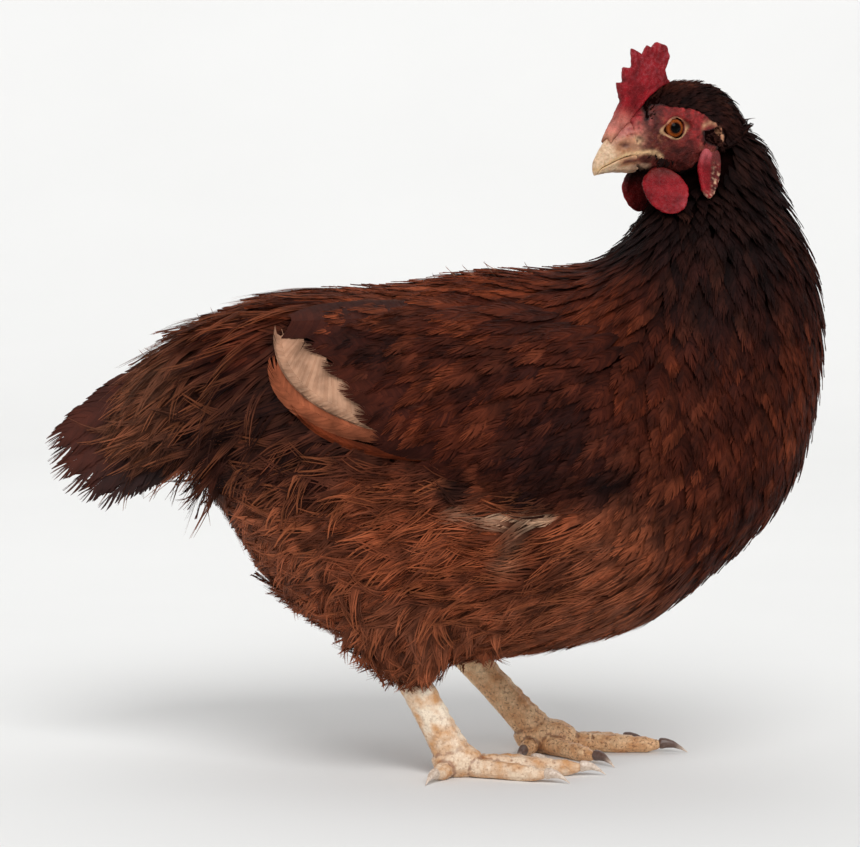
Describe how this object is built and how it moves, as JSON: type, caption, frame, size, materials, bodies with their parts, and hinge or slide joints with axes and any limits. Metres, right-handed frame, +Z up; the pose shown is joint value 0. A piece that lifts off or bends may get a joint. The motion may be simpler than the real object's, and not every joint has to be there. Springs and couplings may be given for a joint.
{
  "type": "hen",
  "caption": "Life-size still model of a standing red-brown hen looking back over its right shoulder, with upright comb, wattles, folded wings and tail.",
  "frame": {"origin": "on the floor, under the middle of the hen's bounding box", "axes": "+X to the hen's front (breast), +Y to its left, +Z up"},
  "size_m": [0.4266, 0.2076, 0.384],
  "materials": {
    "plumage": "soft red-brown contour feathers",
    "plumage_dark": "blackish-brown hackle and tail feathers",
    "red_skin": "pebbled red skin of comb, face and wattles",
    "beak_horn": "yellowish horn, brown at the nostrils",
    "scaled_skin": "cream and tan scaled skin",
    "claw_horn": "horn-coloured claws",
    "eye": "wet orange-brown iris with a black pupil"
  },
  "bodies": {
    "root": {"beak_lower": "beak_horn", "beak_upper": "beak_horn", "claw_hind_left": "claw_horn", "claw_hind_right": "claw_horn", "claw_inner_left": "claw_horn", "claw_inner_right": "claw_horn", "claw_middle_left": "claw_horn", "claw_middle_right": "claw_horn", "claw_outer_left": "claw_horn", "claw_outer_right": "claw_horn", "comb": "red_skin", "earlobe_left": "red_skin", "earlobe_right": "red_skin", "eye_left": "eye", "eye_right": "eye", "foot_left": "scaled_skin", "foot_right": "scaled_skin", "head": "red_skin", "neck": "plumage_dark", "shank_left": "scaled_skin", "shank_right": "scaled_skin", "tail": "plumage_dark", "thigh_left": "plumage", "thigh_right": "plumage", "toe_hind_left": "scaled_skin", "toe_hind_right": "scaled_skin", "toe_inner_left": "scaled_skin", "toe_inner_right": "scaled_skin", "toe_middle_left": "scaled_skin", "toe_middle_right": "scaled_skin", "toe_outer_left": "scaled_skin", "toe_outer_right": "scaled_skin", "torso": "plumage", "wattle_left": "red_skin", "wattle_right": "red_skin", "wing_left": "plumage", "wing_right": "plumage"}
  },
  "joints": []
}
